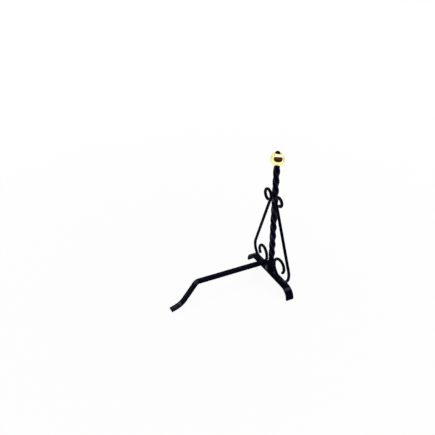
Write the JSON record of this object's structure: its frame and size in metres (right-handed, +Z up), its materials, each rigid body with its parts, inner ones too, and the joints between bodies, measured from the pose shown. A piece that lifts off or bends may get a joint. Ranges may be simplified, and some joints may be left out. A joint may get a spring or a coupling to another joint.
{
  "type": "andiron",
  "caption": "Wrought-iron andiron for holding logs in a hearth: arched foot bar, twisted square post with side scrolls and a brass ball finial, and a flat log bar bent down to a rear heel.",
  "frame": {"origin": "on the floor under the middle of the whole part's box", "axes": "+Z up; +Y back into the hearth, along the log bar; X along the foot bar, with the post and scrolls at -Y"},
  "size_m": [0.23, 0.3503, 0.4252],
  "materials": {
    "black_paint": "satin black paint over forged iron",
    "black_weld": "satin black paint over weld metal",
    "brass": "polished",
    "steel": "plain turned"
  },
  "bodies": {
    "root": {"foot_bar": "black_paint", "post": "black_paint", "log_bar": "black_paint", "scroll_left": "black_paint", "scroll_right": "black_paint", "ball_finial": "brass", "finial_stud": "steel", "cap_nut": "black_paint", "weld_beads": "black_weld"}
  },
  "joints": []
}
